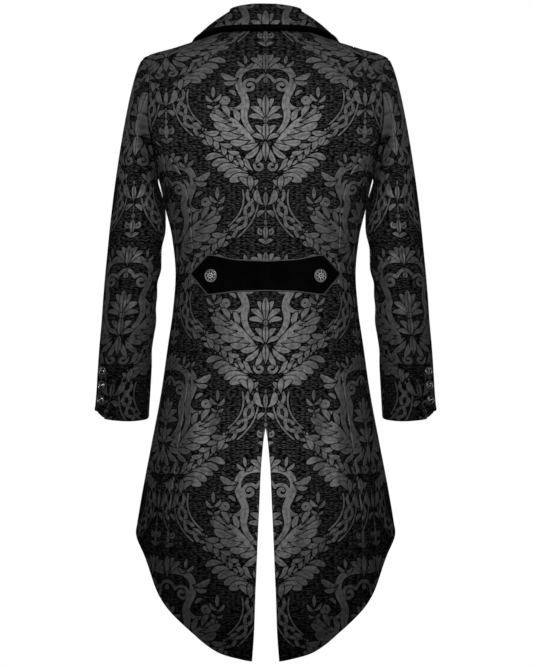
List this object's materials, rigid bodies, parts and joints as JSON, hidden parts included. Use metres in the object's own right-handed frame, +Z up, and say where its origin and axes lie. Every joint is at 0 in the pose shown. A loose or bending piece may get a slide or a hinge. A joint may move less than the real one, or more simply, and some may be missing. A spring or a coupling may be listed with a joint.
{
  "type": "tailcoat",
  "caption": "Waisted brocade tailcoat with a turned-down collar, set-in sleeves, pointed half belt, cutaway front and a flared, open-vented back skirt.",
  "frame": {"origin": "on the centre line at the height of the neck's shoulder points, where the wearer's shoulders hold the coat up", "axes": "+Z up, -Y the way the wearer faces, +X the wearer's left"},
  "size_m": [0.617, 0.2915, 1.1496],
  "materials": {
    "brocade": "black figured brocade with a grey motif on a crinkled ground",
    "velvet": "deep black velvet",
    "button_metal": "antique silver, worn bright on the raised parts"
  },
  "bodies": {
    "root": {"back_left": "brocade", "back_right": "brocade", "side_back_left": "brocade", "side_back_right": "brocade", "front_left": "brocade", "front_right": "brocade", "top_sleeve_left": "brocade", "top_sleeve_right": "brocade", "under_sleeve_left": "brocade", "under_sleeve_right": "brocade", "collar": "brocade", "lapel_left": "brocade", "lapel_right": "brocade", "belt_piping": "brocade", "collar_band": "velvet", "lapel_band_left": "velvet", "lapel_band_right": "velvet", "half_belt": "velvet", "belt_button_left": "button_metal", "belt_button_right": "button_metal", "cuff_button_left_1": "button_metal", "cuff_button_left_2": "button_metal", "cuff_button_left_3": "button_metal", "cuff_button_right_1": "button_metal", "cuff_button_right_2": "button_metal", "cuff_button_right_3": "button_metal", "front_button_1": "button_metal", "front_button_2": "button_metal", "front_button_3": "button_metal"}
  },
  "joints": []
}
